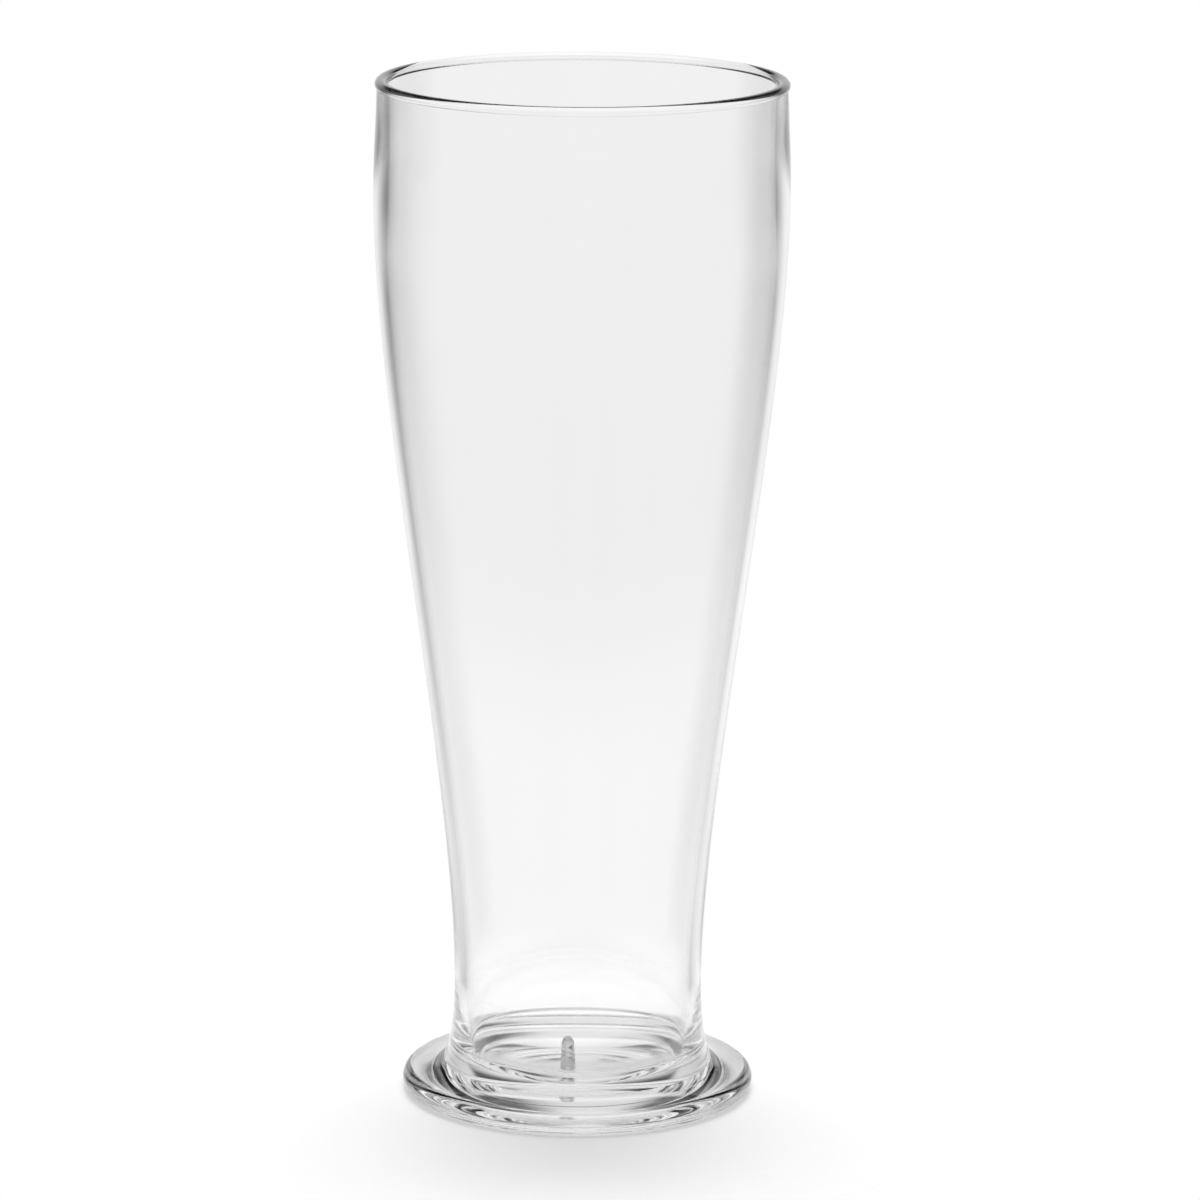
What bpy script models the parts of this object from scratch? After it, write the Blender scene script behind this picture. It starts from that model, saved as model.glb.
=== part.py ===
"""Wheat beer glass: a tall curved bowl, a foot ring under it and a foam pin on its floor.

All sizes are in metres, with +Z up. The origin is on the axis, on the surface the glass stands on.
Every piece is turned about the Z axis from an outline of (radius, height) points.
"""

import math

import bmesh
import bpy

# Overall sizes
HEIGHT = 0.210
RIM_RADIUS = 0.0416

# Rim: a rounded lip that stands a little proud of the wall below it
LIP_HEIGHT = 0.0021
LIP_STEP = 0.0004

# Bowl, outside: a belly close under the rim and a waist close above the foot
BELLY_SWELL = 0.0003
BELLY_DEPTH = 0.024
WAIST_RADIUS = 0.0255
WAIST_HEIGHT = 0.024
FLANK_EASE_LOW = 0.040
FLANK_EASE_HIGH = 0.043
FLARE_WIDTH = 0.0022
FLARE_HEIGHT = 0.0062
FLARE_EASE = 0.011
FLARE_LEAN_WIDTH = 0.0008
FLARE_LEAN_HEIGHT = 0.0018

# Bowl, inside: the wall is thickest at the belly
BELLY_WALL = 0.0029
WAIST_WALL = 0.0024
INNER_BELLY_DEPTH = 0.034
INNER_EASE_LOW = 0.033
INNER_EASE_HIGH = 0.037
DISH_RADIUS = 0.0385
HEEL_RADIUS = 0.0012
FLOOR_WALL = 0.0016

# Foot ring: its top sweeps down from the flare to a flat; a stepped seat takes the base of the bowl
FLANGE_WIDTH = 0.0085
FOOT_HEIGHT = 0.0044
SWEEP_WIDTH = 0.0012
SWEEP_DROP = 0.0010
SWEEP_SHELF = 0.0028
LEDGE_WIDTH = 0.0021
LEDGE_HEIGHT = 0.0016
BASE_LIFT = 0.0003

# Foam pin, a little off the axis
PIN_SIDE = 0.0020
PIN_FRONT = 0.0024
PIN_RADIUS = 0.0016
PIN_SHOULDER_RADIUS = 0.00135
PIN_TIP_RADIUS = 0.0005
PIN_SHANK = 0.0058
PIN_NOSE = 0.0027
PIN_SEAT_DEPTH = 0.0007

# Gap left in every joint
FIT = 0.0003

# Clear moulded plastic
CLEAR_COLOUR = (0.96, 0.97, 0.97)
CLEAR_ROUGHNESS = 0.02
PIN_ROUGHNESS = 0.04
CLEAR_INDEX = 1.585

# Fineness of the turned shapes
BOWL_SEGMENTS = 64
PIN_SEGMENTS = 24
FLANK_STEPS = 12
FILLET_STEPS = 8
ROUND_STEPS = 6
MERGE_DISTANCE = 0.000001

# Sizes that follow from those above
BELLY_RADIUS = RIM_RADIUS + BELLY_SWELL
BELLY_HEIGHT = HEIGHT - BELLY_DEPTH
MOUTH_RADIUS = BELLY_RADIUS - BELLY_WALL
INNER_BELLY_HEIGHT = HEIGHT - INNER_BELLY_DEPTH
INNER_WAIST_RADIUS = WAIST_RADIUS - WAIST_WALL
BASE_RADIUS = WAIST_RADIUS + FLARE_WIDTH
SPIGOT_RADIUS = BASE_RADIUS - LEDGE_WIDTH
FOOT_RADIUS = BASE_RADIUS + FLANGE_WIDTH
FOOT_EDGE = FOOT_HEIGHT / 2
FLOOR_HEIGHT = BASE_LIFT + FLOOR_WALL
DISH_CENTRE = FLOOR_HEIGHT + DISH_RADIUS


def curve(start, start_handle, end_handle, end, steps):
    """Points along a cubic curve, without its first point."""
    points = []
    for step in range(1, steps + 1):
        t = step / steps
        s = 1 - t
        weights = (s ** 3, 3 * s * s * t, 3 * s * t * t, t ** 3)
        corners = (start, start_handle, end_handle, end)
        points.append(tuple(sum(w * c[i] for w, c in zip(weights, corners)) for i in (0, 1)))
    return points


def arc(centre, radius, from_degrees, to_degrees, steps, height=None):
    """Points along an arc, or along an ellipse if height gives its other half axis."""
    rise = radius if height is None else height
    points = []
    for step in range(steps + 1):
        angle = math.radians(from_degrees + (to_degrees - from_degrees) * step / steps)
        points.append((centre[0] + radius * math.cos(angle), centre[1] + rise * math.sin(angle)))
    return points


def dish_height(radius):
    """Height of the round dish of the floor at a distance from the axis."""
    return DISH_CENTRE - math.sqrt(DISH_RADIUS ** 2 - radius ** 2)


def lip_outline():
    """The rounded lip, from the mouth over the top to the neck under it."""
    half_width = (RIM_RADIUS - MOUTH_RADIUS) / 2
    centre = (MOUTH_RADIUS + half_width, HEIGHT - LIP_HEIGHT / 2)
    neck_angle = math.degrees(math.acos(1 - LIP_STEP / half_width))
    return arc(centre, half_width, 180, -neck_angle, 2 * ROUND_STEPS, LIP_HEIGHT / 2)


def bowl_outside(neck):
    """Outside of the bowl, from the neck down to the edge of its base."""
    belly = (BELLY_RADIUS, BELLY_HEIGHT)
    waist = (WAIST_RADIUS, WAIST_HEIGHT)
    base = (BASE_RADIUS, FLARE_HEIGHT)
    shoulder_ease = (neck[1] - belly[1]) / 2
    points = curve(
        neck,
        (neck[0] + BELLY_SWELL, neck[1] - shoulder_ease),
        (belly[0], belly[1] + shoulder_ease),
        belly,
        FILLET_STEPS // 2,
    )
    points += curve(
        belly,
        (belly[0], belly[1] - FLANK_EASE_HIGH),
        (waist[0], waist[1] + FLANK_EASE_LOW),
        waist,
        FLANK_STEPS,
    )
    points += curve(
        waist,
        (waist[0], waist[1] - FLARE_EASE),
        (base[0] - FLARE_LEAN_WIDTH, base[1] + FLARE_LEAN_HEIGHT),
        base,
        FILLET_STEPS,
    )
    return points


def base_outline():
    """Stepped underside of the bowl: the base sits on the ledge and the spigot goes in the bore."""
    ledge = LEDGE_HEIGHT + FIT
    return [
        (BASE_RADIUS, ledge),
        (SPIGOT_RADIUS, ledge),
        (SPIGOT_RADIUS, BASE_LIFT),
        (0.0, BASE_LIFT),
    ]


def bowl_inside():
    """Inside of the bowl from the middle of the floor up to the mouth."""
    heel_centre_radius = INNER_WAIST_RADIUS - HEEL_RADIUS
    reach = DISH_RADIUS - HEEL_RADIUS
    heel_centre = (heel_centre_radius, DISH_CENTRE - math.sqrt(reach ** 2 - heel_centre_radius ** 2))
    dish_angle = math.degrees(math.asin(heel_centre_radius / reach))
    points = arc((0.0, DISH_CENTRE), DISH_RADIUS, -90, -90 + dish_angle, FILLET_STEPS // 2)
    points[0] = (0.0, FLOOR_HEIGHT)
    points += arc(heel_centre, HEEL_RADIUS, -90 + dish_angle, 0, FILLET_STEPS)[1:]
    waist = (INNER_WAIST_RADIUS, max(WAIST_HEIGHT, heel_centre[1] + FIT))
    belly = (MOUTH_RADIUS, INNER_BELLY_HEIGHT)
    points.append(waist)
    points += curve(
        waist,
        (waist[0], waist[1] + INNER_EASE_LOW),
        (belly[0], belly[1] - INNER_EASE_HIGH),
        belly,
        FLANK_STEPS,
    )
    return points


def foot_outline():
    """Foot ring: swept top, round outer edge, flat underside, and a bore with a ledge."""
    collar = (BASE_RADIUS + FIT, FLARE_HEIGHT - FIT)
    bore_radius = SPIGOT_RADIUS + FIT
    edge_centre = (FOOT_RADIUS - FOOT_EDGE, FOOT_EDGE)
    edge = arc(edge_centre, FOOT_EDGE, 90, -90, 2 * ROUND_STEPS)
    sweep = curve(
        collar,
        (collar[0] + SWEEP_WIDTH, collar[1] - SWEEP_DROP),
        (edge[0][0] - SWEEP_SHELF, edge[0][1]),
        edge[0],
        FILLET_STEPS,
    )
    return [collar] + sweep + edge[1:] + [
        (bore_radius, 0.0),
        (bore_radius, LEDGE_HEIGHT),
        (collar[0], LEDGE_HEIGHT),
    ]


def pin_outline():
    """Foam pin, from its tip down to its foot: a rounded nose on a slightly tapered shank."""
    tip = PIN_SHANK + PIN_NOSE
    sink = FIT - PIN_SEAT_DEPTH
    nose = curve(
        (PIN_TIP_RADIUS, tip - PIN_TIP_RADIUS / 2),
        (PIN_SHOULDER_RADIUS - PIN_TIP_RADIUS / 2, tip - PIN_NOSE / 3),
        (PIN_SHOULDER_RADIUS, PIN_SHANK + PIN_NOSE / 3),
        (PIN_SHOULDER_RADIUS, PIN_SHANK),
        ROUND_STEPS,
    )
    return [(0.0, tip), (PIN_TIP_RADIUS, tip - PIN_TIP_RADIUS / 2)] + nose + [
        (PIN_RADIUS, 0.0),
        (PIN_RADIUS, sink),
        (0.0, sink),
    ]


def material(name, colour, roughness):
    """A clear material."""
    made = bpy.data.materials.new(name)
    made.use_nodes = True
    shader = made.node_tree.nodes["Principled BSDF"]
    shader.inputs["Base Color"].default_value = (*colour, 1.0)
    shader.inputs["Roughness"].default_value = roughness
    shader.inputs["Metallic"].default_value = 0.0
    shader.inputs["Transmission Weight"].default_value = 1.0
    shader.inputs["IOR"].default_value = CLEAR_INDEX
    return made


def turned(name, outline, segments, closed, surface):
    """An object turned about its own Z axis by a Screw modifier."""
    mesh = bpy.data.meshes.new(name)
    edges = [(i, i + 1) for i in range(len(outline) - 1)]
    if closed:
        edges.append((len(outline) - 1, 0))
    mesh.from_pydata([(radius, 0.0, height) for radius, height in outline], edges, [])
    mesh.materials.append(surface)
    piece = bpy.data.objects.new(name, mesh)
    bpy.context.scene.collection.objects.link(piece)
    screw = piece.modifiers.new("Turn", "SCREW")
    screw.axis = "Z"
    screw.angle = math.tau
    screw.steps = segments
    screw.render_steps = segments
    screw.use_merge_vertices = True
    screw.merge_threshold = MERGE_DISTANCE
    screw.use_smooth_shade = True
    return piece


def pin_seat_cutter(place):
    """Cutter for the shallow round seat of the pin in the floor of the bowl."""
    mesh = bpy.data.meshes.new("pin_seat_cutter")
    shape = bmesh.new()
    length = PIN_SEAT_DEPTH + PIN_SHANK
    bmesh.ops.create_cone(
        shape,
        cap_ends=True,
        segments=PIN_SEGMENTS,
        radius1=PIN_RADIUS + FIT,
        radius2=PIN_RADIUS + FIT,
        depth=length,
    )
    shape.to_mesh(mesh)
    shape.free()
    cutter = bpy.data.objects.new("pin_seat_cutter", mesh)
    bpy.context.scene.collection.objects.link(cutter)
    cutter.location = (place[0], place[1], place[2] - PIN_SEAT_DEPTH + length / 2)
    cutter.hide_render = True
    cutter.display_type = "WIRE"
    return cutter


def main():
    for old in list(bpy.data.objects):
        bpy.data.objects.remove(old)

    clear = material("clear_plastic", CLEAR_COLOUR, CLEAR_ROUGHNESS)
    clear_pin = material("clear_pin", CLEAR_COLOUR, PIN_ROUGHNESS)

    root = bpy.data.objects.new("glass", None)
    bpy.context.scene.collection.objects.link(root)

    lip = lip_outline()
    bowl_points = bowl_inside() + lip + bowl_outside(lip[-1]) + base_outline()
    bowl = turned("bowl", bowl_points, BOWL_SEGMENTS, False, clear)
    foot = turned("foot_ring", foot_outline(), BOWL_SEGMENTS, True, clear)
    pin = turned("foam_pin", pin_outline(), PIN_SEGMENTS, False, clear_pin)

    pin.location = (-PIN_SIDE, -PIN_FRONT, dish_height(math.hypot(PIN_SIDE, PIN_FRONT)))
    cut = bowl.modifiers.new("Pin seat", "BOOLEAN")
    cut.operation = "DIFFERENCE"
    cut.solver = "EXACT"
    cut.object = pin_seat_cutter(pin.location)

    for piece in (bowl, foot, pin, cut.object):
        piece.parent = root


main()
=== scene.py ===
"""Looks of the wheat beer glass: clear moulded bowl, foot ring and foam pin on a white table."""

import math

import bpy
from mathutils import Matrix, Vector


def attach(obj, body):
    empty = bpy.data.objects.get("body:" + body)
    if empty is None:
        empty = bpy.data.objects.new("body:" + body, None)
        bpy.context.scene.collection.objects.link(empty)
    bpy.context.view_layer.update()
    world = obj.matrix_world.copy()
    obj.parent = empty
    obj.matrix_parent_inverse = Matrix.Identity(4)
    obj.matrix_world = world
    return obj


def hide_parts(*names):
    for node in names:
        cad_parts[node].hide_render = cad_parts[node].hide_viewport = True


# Bowl, in metres
HEIGHT = 0.210
RIM_RADIUS = 0.0416
LIP_HEIGHT = 0.0021
LIP_STEP = 0.0004
BELLY_SWELL = 0.0003
BELLY_DEPTH = 0.024
WAIST_RADIUS = 0.0255
WAIST_HEIGHT = 0.024
FLANK_EASE_LOW = 0.040
FLANK_EASE_HIGH = 0.043
FLARE_WIDTH = 0.0022
FLARE_HEIGHT = 0.0062
FLARE_EASE = 0.011
FLARE_LEAN_WIDTH = 0.0008
FLARE_LEAN_HEIGHT = 0.0018
BELLY_WALL = 0.0029
WAIST_WALL = 0.0024
INNER_BELLY_DEPTH = 0.034
INNER_EASE_LOW = 0.033
INNER_EASE_HIGH = 0.037
DISH_RADIUS = 0.0385
HEEL_RADIUS = 0.0012
FLOOR_WALL = 0.0016

# Foot ring
FLANGE_WIDTH = 0.0085
FOOT_HEIGHT = 0.0044
SWEEP_WIDTH = 0.0012
SWEEP_DROP = 0.0010
SWEEP_SHELF = 0.0028
LEDGE_WIDTH = 0.0021
LEDGE_HEIGHT = 0.0016
BASE_LIFT = 0.0003

# Foam pin; the last four are shares of its nose and shank
PIN_SIDE = 0.0020
PIN_FRONT = 0.0024
PIN_RADIUS = 0.0016
PIN_SHOULDER_RADIUS = 0.00135
PIN_SHANK = 0.0058
PIN_NOSE = 0.0027
NOSE_BLUNTNESS = 0.75
NOSE_FULLNESS = 0.45
TAPER_TOP = 0.6
TAPER_FOOT = 0.4

# Hair gap in the joints; between bowl and foot ring its faces bend no light, as in a weld
GAP = 0.00002

# Fineness; the angle above which an edge stays sharp is in degrees
SEGMENTS = 192
PIN_SEGMENTS = 64
FLANK_STEPS = 72
FILLET_STEPS = 28
ROUND_STEPS = 14
SHARP_ANGLE = 35.0

# Sizes that follow
BELLY_RADIUS = RIM_RADIUS + BELLY_SWELL
BELLY_HEIGHT = HEIGHT - BELLY_DEPTH
MOUTH_RADIUS = BELLY_RADIUS - BELLY_WALL
INNER_BELLY_HEIGHT = HEIGHT - INNER_BELLY_DEPTH
INNER_WAIST_RADIUS = WAIST_RADIUS - WAIST_WALL
BASE_RADIUS = WAIST_RADIUS + FLARE_WIDTH
SPIGOT_RADIUS = BASE_RADIUS - LEDGE_WIDTH
FOOT_RADIUS = BASE_RADIUS + FLANGE_WIDTH
FOOT_EDGE = FOOT_HEIGHT / 2
FLOOR_HEIGHT = BASE_LIFT + FLOOR_WALL
DISH_CENTRE = FLOOR_HEIGHT + DISH_RADIUS

# Clear plastic, with smears from a noise between two of its values
CLEAR_INDEX = 1.585
CLEAR_COLOUR = (0.99, 0.99, 0.99)
# The pin's grey is painted shade: it darkens the clear pin all over and stands in for its dark look.
PIN_PAINTED_SHADE = (0.64, 0.64, 0.64)
SMEAR_SCALE = 40.0
SMEAR_DETAIL = 3.0
SMEAR_RANGE = (0.35, 0.70)
ROUGH_LOW = 0.03
ROUGH_HIGH = 0.06
BOUNCES = 32
GLOSSY_BOUNCES = 16

# Camera, from the photograph; lens and sensor are in millimetres
CAMERA_DISTANCE = 1.1925
CAMERA_HEIGHT = 0.3751
CAMERA_SIDE = 0.0041
CAMERA_PITCH = 12.85
CAMERA_ROLL = 0.35
CAMERA_LENS = 180.0
SENSOR_WIDTH = 36.0

# Table: it fades out round the glass, and glows more under the foot, a painted pool of light
TABLE_RADIUS = 0.55
TABLE_FADE = (0.05, 0.11)
TABLE_DROP = 0.0002
TABLE_COLOUR = 0.82
TABLE_GLOW = 0.37
UNDER_FOOT_PAINTED_LIGHT = 0.50
UNDER_FOOT_PAINTED_LIGHT_FADE = (0.028, 0.037)

# Studio: levels, and pairs of degrees that each level fades between. Degrees are counted round from straight
# behind the glass, on either side, or up from the horizon.
BACKDROP_TURN = -3.0
BACK_LEVEL = 0.90
BACK_NEAR = 0.98
BACK_FADE = (17.0, 48.0)
SIDE_LEVEL = 0.35
SIDE_NEAR = 0.80
NEAR_FADE = (-15.0, -12.3)
FRONT_LEVEL = 0.82
FRONT_FADE = (55.0, 78.0)
DIP_DEPTH = 0.52
DIP_IN = (19.0, 40.0)
DIP_OUT = (60.0, 82.0)
DIP_UNDER = (-23.0, -15.0)
DIP_OVER = (-9.6, -4.4)
LOW_FADE = (13.0, 20.0)
STRIP_LEVEL = 0.8
GAP_LEVEL = 0.03
STRIP_FADE = (4.0, 17.0)
TOP_LEVEL = 1.05
TOP_FADE = (46.0, 58.0)
WING_LEVEL = 0.65
WING_IN = (38.0, 46.0)
WING_OUT = (80.0, 95.0)
WING_UNDER = (8.0, 14.0)
WING_OVER = (30.0, 38.0)
LAMP_POWER = 25.0
LAMP_PLACE = (0.0, 0.8, 2.2)
LAMP_SIZE = 1.5


def curve(start, start_handle, end_handle, end, steps):
    """Points along a cubic curve, without its first point."""
    points = []
    for step in range(1, steps + 1):
        t = step / steps
        s = 1 - t
        weights = (s ** 3, 3 * s * s * t, 3 * s * t * t, t ** 3)
        corners = (start, start_handle, end_handle, end)
        points.append(tuple(sum(w * c[i] for w, c in zip(weights, corners)) for i in (0, 1)))
    return points


def arc(centre, radius, from_degrees, to_degrees, steps, height=None):
    """Points along an arc, or along an ellipse if height gives its other half axis."""
    rise = radius if height is None else height
    points = []
    for step in range(steps + 1):
        angle = math.radians(from_degrees + (to_degrees - from_degrees) * step / steps)
        points.append((centre[0] + radius * math.cos(angle), centre[1] + rise * math.sin(angle)))
    return points


def dish_height(radius):
    """Height of the round dish of the floor at a distance from the axis."""
    return DISH_CENTRE - math.sqrt(DISH_RADIUS ** 2 - radius ** 2)


def bowl_inside():
    """Inside of the bowl, from the middle of the floor up to the belly."""
    heel_centre_radius = INNER_WAIST_RADIUS - HEEL_RADIUS
    reach = DISH_RADIUS - HEEL_RADIUS
    heel_centre = (heel_centre_radius, DISH_CENTRE - math.sqrt(reach ** 2 - heel_centre_radius ** 2))
    dish_angle = math.degrees(math.asin(heel_centre_radius / reach))
    points = arc((0.0, DISH_CENTRE), DISH_RADIUS, -90, -90 + dish_angle, FILLET_STEPS)
    points[0] = (0.0, FLOOR_HEIGHT)
    points += arc(heel_centre, HEEL_RADIUS, -90 + dish_angle, 0, ROUND_STEPS)[1:]
    waist = (INNER_WAIST_RADIUS, WAIST_HEIGHT)
    belly = (MOUTH_RADIUS, INNER_BELLY_HEIGHT)
    points += curve(points[-1], points[-1], waist, waist, ROUND_STEPS)
    points += curve(
        waist,
        (waist[0], waist[1] + INNER_EASE_LOW),
        (belly[0], belly[1] - INNER_EASE_HIGH),
        belly,
        FLANK_STEPS,
    )
    return points


def lip_outline(belly):
    """From the belly inside up to the mouth, and over the rounded lip to the neck under it."""
    half_width = (RIM_RADIUS - MOUTH_RADIUS) / 2
    centre = (MOUTH_RADIUS + half_width, HEIGHT - LIP_HEIGHT / 2)
    neck_angle = math.degrees(math.acos(1 - LIP_STEP / half_width))
    lip = arc(centre, half_width, 180, -neck_angle, 2 * ROUND_STEPS, LIP_HEIGHT / 2)
    return curve(belly, belly, lip[0], lip[0], ROUND_STEPS)[:-1] + lip


def bowl_outside(neck):
    """Outside of the bowl, from the neck down to the edge of its base."""
    belly = (BELLY_RADIUS, BELLY_HEIGHT)
    waist = (WAIST_RADIUS, WAIST_HEIGHT)
    base = (BASE_RADIUS, FLARE_HEIGHT)
    shoulder_ease = (neck[1] - belly[1]) / 2
    points = curve(
        neck,
        (neck[0] + BELLY_SWELL, neck[1] - shoulder_ease),
        (belly[0], belly[1] + shoulder_ease),
        belly,
        ROUND_STEPS,
    )
    points += curve(
        belly,
        (belly[0], belly[1] - FLANK_EASE_HIGH),
        (waist[0], waist[1] + FLANK_EASE_LOW),
        waist,
        FLANK_STEPS,
    )
    points += curve(
        waist,
        (waist[0], waist[1] - FLARE_EASE),
        (base[0] - FLARE_LEAN_WIDTH, base[1] + FLARE_LEAN_HEIGHT),
        base,
        2 * FILLET_STEPS,
    )
    return points


def base_outline():
    """Stepped underside of the bowl; all but its last stretch is welded to the foot ring."""
    return [
        (BASE_RADIUS, LEDGE_HEIGHT),
        (SPIGOT_RADIUS, LEDGE_HEIGHT),
        (SPIGOT_RADIUS, BASE_LIFT),
        (0.0, BASE_LIFT),
    ]


def foot_outline():
    """Swept top, round edge and flat underside of the foot ring."""
    collar = (BASE_RADIUS + GAP, FLARE_HEIGHT)
    edge = arc((FOOT_RADIUS - FOOT_EDGE, FOOT_EDGE), FOOT_EDGE, 90, -90, 2 * ROUND_STEPS)
    sweep = curve(
        collar,
        (collar[0] + SWEEP_WIDTH, collar[1] - SWEEP_DROP),
        (edge[0][0] - SWEEP_SHELF, edge[0][1]),
        edge[0],
        FILLET_STEPS,
    )
    return [collar] + sweep + edge[1:]


def bore_outline():
    """Stepped bore of the foot ring; all but its first stretch is welded to the bowl."""
    return [
        (SPIGOT_RADIUS + GAP, 0.0),
        (SPIGOT_RADIUS + GAP, BASE_LIFT),
        (SPIGOT_RADIUS + GAP, LEDGE_HEIGHT - GAP),
        (BASE_RADIUS + GAP, LEDGE_HEIGHT - GAP),
    ]


def pin_outline():
    """Foam pin, from its tip down: a rounded nose on a slightly tapered shank."""
    tip = PIN_SHANK + PIN_NOSE
    nose = curve(
        (0.0, tip),
        (PIN_SHOULDER_RADIUS * NOSE_BLUNTNESS, tip),
        (PIN_SHOULDER_RADIUS, PIN_SHANK + PIN_NOSE * NOSE_FULLNESS),
        (PIN_SHOULDER_RADIUS, PIN_SHANK),
        ROUND_STEPS,
    )
    shank = curve(
        nose[-1],
        (PIN_SHOULDER_RADIUS, PIN_SHANK * TAPER_TOP),
        (PIN_RADIUS, PIN_SHANK * TAPER_FOOT),
        (PIN_RADIUS, 0.0),
        ROUND_STEPS,
    )
    return [(0.0, tip)] + nose + shank + [(PIN_RADIUS / 2, 0.0), (0.0, 0.0)]


def turned(name, outline, segments, closed, surfaces, welded=()):
    """A closed mesh turned about Z from (radius, height) points.

    If closed, the last point joins the first. Welded stretches get the second surface.
    """
    verts = []
    rings = []
    for radius, height in outline:
        if radius == 0.0:
            rings.append([len(verts)] * segments)
            verts.append((0.0, 0.0, height))
            continue
        rings.append(list(range(len(verts), len(verts) + segments)))
        for k in range(segments):
            angle = math.tau * k / segments
            verts.append((radius * math.cos(angle), radius * math.sin(angle), height))
    pairs = list(zip(rings, rings[1:]))
    if closed:
        pairs.append((rings[-1], rings[0]))
    faces = []
    marks = []
    for stretch, (upper, lower) in enumerate(pairs):
        for k in range(segments):
            n = (k + 1) % segments
            faces.append(list(dict.fromkeys((upper[k], lower[k], lower[n], upper[n]))))
            marks.append(1 if stretch in welded else 0)
    mesh = bpy.data.meshes.new(name)
    mesh.from_pydata(verts, [], faces)
    for surface in surfaces:
        mesh.materials.append(surface)
    mesh.polygons.foreach_set("material_index", marks)
    mesh.shade_smooth()
    mesh.set_sharp_from_angle(angle=math.radians(SHARP_ANGLE))
    piece = bpy.data.objects.new(name, mesh)
    bpy.context.scene.collection.objects.link(piece)
    return piece


def stand_on_dish(pin):
    """Moves the pin to its place, with its foot cut to the dish of the floor."""
    floor = dish_height(math.hypot(PIN_SIDE, PIN_FRONT))
    for vertex in pin.data.vertices:
        x = vertex.co.x - PIN_SIDE
        y = vertex.co.y - PIN_FRONT
        on_foot = vertex.co.z == 0.0
        vertex.co = (x, y, (dish_height(math.hypot(x, y)) + GAP) if on_foot else floor + vertex.co.z)


def joined(tree, operation, first, second):
    """A math node fed by two sockets or numbers; gives its output."""
    node = tree.nodes.new("ShaderNodeMath")
    node.operation = operation
    for value, socket in ((first, node.inputs[0]), (second, node.inputs[1])):
        if isinstance(value, (int, float)):
            socket.default_value = value
        else:
            tree.links.new(value, socket)
    return node.outputs[0]


def highest(tree, *levels):
    """The highest of several levels; gives its output."""
    made = levels[0]
    for level in levels[1:]:
        made = joined(tree, "MAXIMUM", made, level)
    return made


def eased(tree, value, fade, first, last):
    """A smooth step from one level to another while the value runs through a fade; gives its output."""
    node = tree.nodes.new("ShaderNodeMapRange")
    node.interpolation_type = "SMOOTHSTEP"
    node.inputs["From Min"].default_value = fade[0]
    node.inputs["From Max"].default_value = fade[1]
    node.inputs["To Min"].default_value = first
    node.inputs["To Max"].default_value = last
    tree.links.new(value, node.inputs["Value"])
    return node.outputs["Result"]


def eased_by_angle(tree, angle, degrees, first, last):
    """The same step for an angle in radians and a fade in degrees."""
    return eased(tree, angle, [math.radians(d) for d in degrees], first, last)


def blended(tree, first, second, share):
    """A level between two, by the share of the second; gives its output."""
    step = joined(tree, "MULTIPLY", share, joined(tree, "SUBTRACT", second, first))
    return joined(tree, "ADD", first, step)


def window(tree, level, away, away_in, away_out, rise, rise_in, rise_out):
    """A level that fades in and out both ways, round and up; gives its output."""
    made = level
    for angle, fade_in, fade_out in ((away, away_in, away_out), (rise, rise_in, rise_out)):
        made = joined(tree, "MULTIPLY", made, eased_by_angle(tree, angle, fade_in, 0.0, 1.0))
        made = joined(tree, "MULTIPLY", made, eased_by_angle(tree, angle, fade_out, 1.0, 0.0))
    return made


def along(tree, vector, direction):
    """How far a vector reaches along a direction; gives its output."""
    node = tree.nodes.new("ShaderNodeVectorMath")
    node.operation = "DOT_PRODUCT"
    node.inputs[1].default_value = direction
    tree.links.new(vector, node.inputs[0])
    return node.outputs["Value"]


def clear_material(name, tint_and_painted_shade):
    """Clear moulded plastic, polished, with faint smears, tinted by the colour given; for the pin that tint
    is painted shade.
    """
    made = bpy.data.materials.new(name)
    made.use_nodes = True
    tree = made.node_tree
    shader = tree.nodes["Principled BSDF"]
    shader.inputs["Base Color"].default_value = (*tint_and_painted_shade, 1.0)
    shader.inputs["IOR"].default_value = CLEAR_INDEX
    shader.inputs["Transmission Weight"].default_value = 1.0
    place = tree.nodes.new("ShaderNodeTexCoord")
    smears = tree.nodes.new("ShaderNodeTexNoise")
    smears.inputs["Scale"].default_value = SMEAR_SCALE
    smears.inputs["Detail"].default_value = SMEAR_DETAIL
    tree.links.new(place.outputs["Object"], smears.inputs["Vector"])
    rough = eased(tree, smears.outputs["Fac"], SMEAR_RANGE, ROUGH_LOW, ROUGH_HIGH)
    tree.links.new(rough, shader.inputs["Roughness"])
    return made


def weld_material():
    """A face inside a welded joint, which bends no light."""
    made = bpy.data.materials.new("clear_weld")
    made.use_nodes = True
    shader = made.node_tree.nodes["Principled BSDF"]
    shader.inputs["Base Color"].default_value = (1.0, 1.0, 1.0, 1.0)
    shader.inputs["Roughness"].default_value = 0.0
    shader.inputs["IOR"].default_value = 1.0
    shader.inputs["Transmission Weight"].default_value = 1.0
    return made


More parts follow.
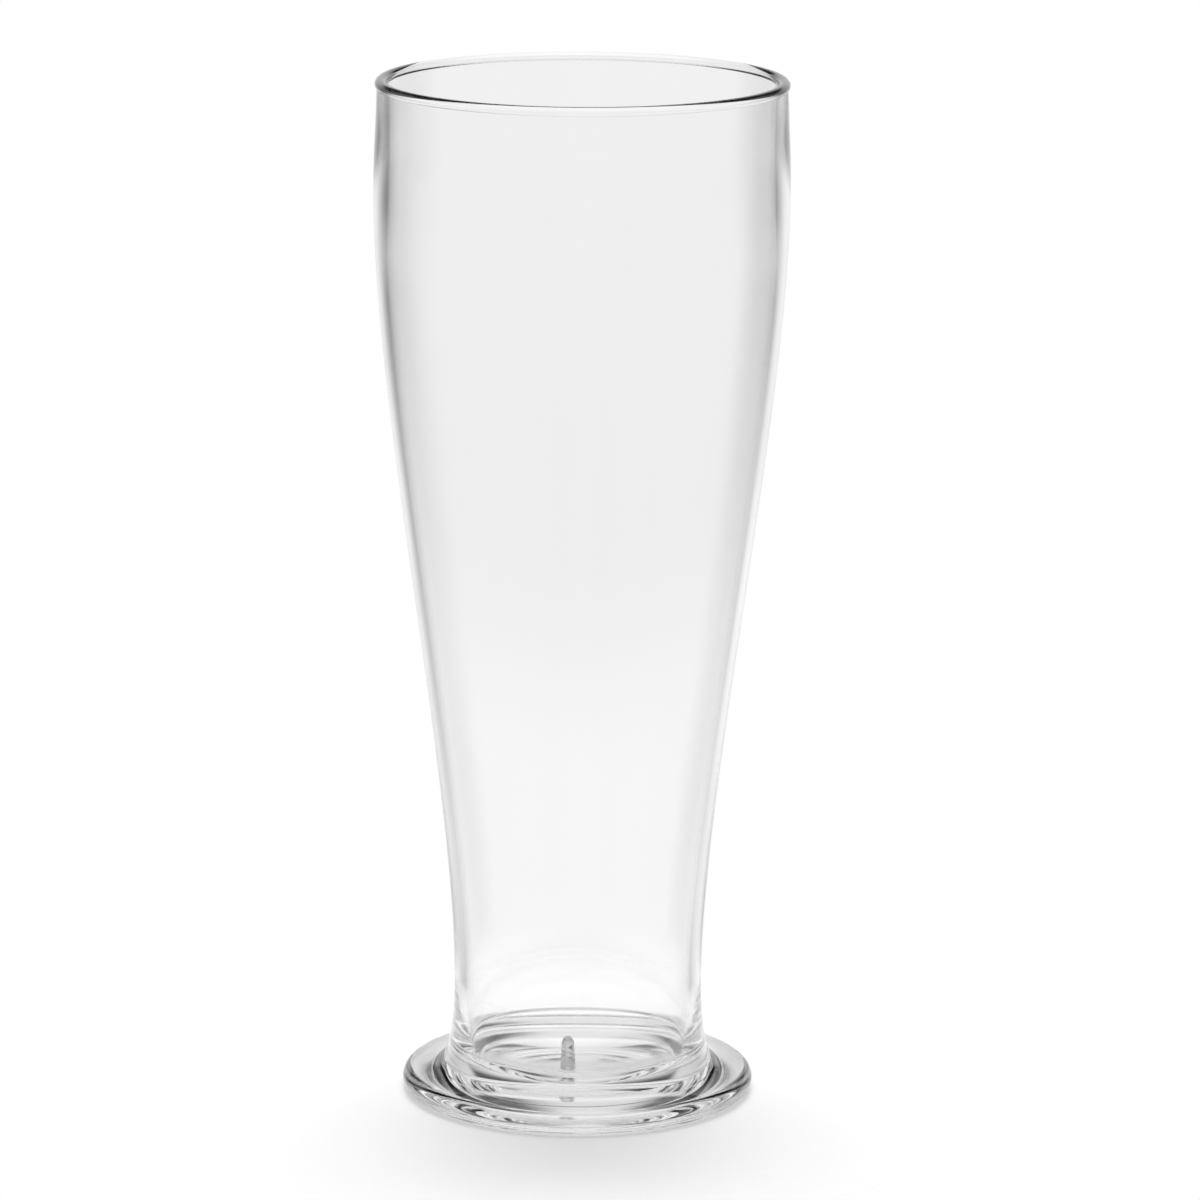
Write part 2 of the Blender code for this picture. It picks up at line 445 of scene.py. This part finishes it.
def table_material():
    """Pale table that takes the shadow, glows a little where it is seen, glows more under the foot as a
    painted pool of light, and is clear far out.
    """
    made = bpy.data.materials.new("white_table")
    made.use_nodes = True
    tree = made.node_tree
    tree.nodes.clear()
    out = tree.nodes.new("ShaderNodeOutputMaterial")
    place = tree.nodes.new("ShaderNodeNewGeometry")
    reach = tree.nodes.new("ShaderNodeVectorMath")
    reach.operation = "LENGTH"
    tree.links.new(place.outputs["Position"], reach.inputs[0])
    distance = reach.outputs["Value"]

    diffuse = tree.nodes.new("ShaderNodeBsdfDiffuse")
    diffuse.inputs["Color"].default_value = (TABLE_COLOUR, TABLE_COLOUR, TABLE_COLOUR, 1.0)
    glow = tree.nodes.new("ShaderNodeEmission")
    path = tree.nodes.new("ShaderNodeLightPath")
    rays = ("Is Camera Ray", "Is Glossy Ray", "Is Transmission Ray")
    seen = highest(tree, *(path.outputs[ray] for ray in rays))
    # Under the foot the glow rises, a painted pool of light.
    glow_and_painted_pool = eased(tree, distance, UNDER_FOOT_PAINTED_LIGHT_FADE, UNDER_FOOT_PAINTED_LIGHT, TABLE_GLOW)
    tree.links.new(joined(tree, "MULTIPLY", seen, glow_and_painted_pool), glow.inputs["Strength"])
    both = tree.nodes.new("ShaderNodeAddShader")
    tree.links.new(diffuse.outputs[0], both.inputs[0])
    tree.links.new(glow.outputs[0], both.inputs[1])

    clear = tree.nodes.new("ShaderNodeBsdfTransparent")
    mix = tree.nodes.new("ShaderNodeMixShader")
    tree.links.new(eased(tree, distance, TABLE_FADE, 1.0, 0.0), mix.inputs[0])
    tree.links.new(clear.outputs[0], mix.inputs[1])
    tree.links.new(both.outputs[0], mix.inputs[2])
    tree.links.new(mix.outputs[0], out.inputs["Surface"])
    return made


def studio_level(tree, away, rise):
    """Level of the studio by the angles round and up: what gloss and glass see, and what lights the table."""
    near = eased_by_angle(tree, rise, NEAR_FADE, 1.0, 0.0)
    side = blended(tree, SIDE_LEVEL, SIDE_NEAR, near)
    behind = blended(tree, BACK_LEVEL, BACK_NEAR, near)
    low = blended(tree, side, behind, eased_by_angle(tree, away, BACK_FADE, 1.0, 0.0))
    low = blended(tree, low, FRONT_LEVEL, eased_by_angle(tree, away, FRONT_FADE, 0.0, 1.0))
    dip = window(tree, DIP_DEPTH, away, DIP_IN, DIP_OUT, rise, DIP_UNDER, DIP_OVER)
    low = joined(tree, "MULTIPLY", low, joined(tree, "SUBTRACT", 1.0, dip))
    low = joined(tree, "MULTIPLY", low, eased_by_angle(tree, rise, LOW_FADE, 1.0, 0.0))
    strip = eased_by_angle(tree, away, STRIP_FADE, STRIP_LEVEL, GAP_LEVEL)
    wing = window(tree, WING_LEVEL, away, WING_IN, WING_OUT, rise, WING_UNDER, WING_OVER)
    top = eased_by_angle(tree, rise, TOP_FADE, 0.0, TOP_LEVEL)
    return highest(tree, low, strip, wing, top)


def add_light():
    """The studio as the world, plain white to the camera, and a lamp for the shadow."""
    world = bpy.data.worlds.new("studio")
    bpy.context.scene.world = world
    world.use_nodes = True
    tree = world.node_tree
    tree.nodes.clear()
    out = tree.nodes.new("ShaderNodeOutputWorld")
    ground = tree.nodes.new("ShaderNodeBackground")
    ground.inputs["Color"].default_value = (1.0, 1.0, 1.0, 1.0)
    direction = tree.nodes.new("ShaderNodeTexCoord").outputs["Generated"]
    turn = math.radians(BACKDROP_TURN)
    aside = along(tree, direction, (math.cos(turn), math.sin(turn), 0.0))
    behind = along(tree, direction, (-math.sin(turn), math.cos(turn), 0.0))
    up = along(tree, direction, (0.0, 0.0, 1.0))
    away = joined(tree, "ABSOLUTE", joined(tree, "ARCTAN2", aside, behind), 0.0)
    rise = joined(tree, "ARCSINE", up, 0.0)
    path = tree.nodes.new("ShaderNodeLightPath")
    shown = highest(tree, studio_level(tree, away, rise), path.outputs["Is Camera Ray"])
    tree.links.new(shown, ground.inputs["Strength"])
    tree.links.new(ground.outputs[0], out.inputs["Surface"])

    lamp = bpy.data.lights.new("back_lamp", "AREA")
    lamp.shape = "DISK"
    lamp.size = LAMP_SIZE
    lamp.energy = LAMP_POWER
    holder = bpy.data.objects.new("back_lamp", lamp)
    holder.location = LAMP_PLACE
    holder.rotation_euler = (-Vector(LAMP_PLACE)).to_track_quat("-Z", "Y").to_euler()
    holder.visible_glossy = False
    holder.visible_transmission = False
    bpy.context.scene.collection.objects.link(holder)


def add_camera():
    """Camera at the photograph's place, looking a little down."""
    data = bpy.data.cameras.new("camera")
    data.lens = CAMERA_LENS
    data.sensor_width = SENSOR_WIDTH
    data.sensor_fit = "HORIZONTAL"
    camera = bpy.data.objects.new("camera", data)
    bpy.context.scene.collection.objects.link(camera)
    camera.location = (CAMERA_SIDE, -CAMERA_DISTANCE, CAMERA_HEIGHT)
    camera.rotation_mode = "XYZ"
    pitch = math.radians(90 - CAMERA_PITCH)
    roll = math.radians(CAMERA_ROLL)
    camera.rotation_euler = (Matrix.Rotation(pitch, 3, "X") @ Matrix.Rotation(roll, 3, "Z")).to_euler()
    bpy.context.scene.camera = camera


def add_table():
    """A round table top, a hair under the glass."""
    mesh = bpy.data.meshes.new("table")
    ring = []
    for k in range(SEGMENTS):
        angle = math.tau * k / SEGMENTS
        ring.append((TABLE_RADIUS * math.cos(angle), TABLE_RADIUS * math.sin(angle), -TABLE_DROP))
    mesh.from_pydata(ring, [], [list(range(SEGMENTS))])
    mesh.materials.append(table_material())
    table = bpy.data.objects.new("table", mesh)
    bpy.context.scene.collection.objects.link(table)


def add_pieces():
    """Bowl, foot ring and foam pin, each in place of its CAD node."""
    clear = clear_material("clear_plastic", CLEAR_COLOUR)
    # The pin's material carries painted shade, a grey tint on clear plastic.
    pin_painted_shade_material = clear_material("clear_pin", PIN_PAINTED_SHADE)
    weld = weld_material()

    inside = bowl_inside()
    lip = lip_outline(inside[-1])
    shell = inside + lip + bowl_outside(lip[-1])
    base = base_outline()
    first = len(shell) - 1
    welded = range(first, first + len(base) - 1)
    bowl = turned("bowl_clear", shell + base, SEGMENTS, False, (clear, weld), welded)

    top = foot_outline()
    bore = bore_outline()
    first = len(top) + 1
    welded = range(first, first + len(bore) - 1)
    foot = turned("foot_clear", top + bore, SEGMENTS, True, (clear, weld), welded)

    pin = turned("pin_painted_shade_material", pin_outline(), PIN_SEGMENTS, False, (pin_painted_shade_material,))
    stand_on_dish(pin)
    for piece, node, slot in (
        (bowl, "bowl", "clear_plastic"),
        (foot, "foot_ring", "clear_plastic"),
        (pin, "foam_pin", "clear_pin"),
    ):
        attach(piece, "root")
        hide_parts(node)


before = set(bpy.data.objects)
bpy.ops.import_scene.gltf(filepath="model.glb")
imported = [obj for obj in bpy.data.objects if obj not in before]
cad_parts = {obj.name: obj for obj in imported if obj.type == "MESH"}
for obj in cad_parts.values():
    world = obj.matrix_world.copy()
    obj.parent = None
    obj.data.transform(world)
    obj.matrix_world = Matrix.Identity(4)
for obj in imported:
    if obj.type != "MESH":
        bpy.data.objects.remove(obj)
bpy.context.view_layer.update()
scene = bpy.context.scene
scene.view_settings.view_transform = "Standard"
scene.cycles.max_bounces = BOUNCES
scene.cycles.transmission_bounces = BOUNCES
scene.cycles.glossy_bounces = GLOSSY_BOUNCES
add_pieces()
add_table()
add_light()
add_camera()
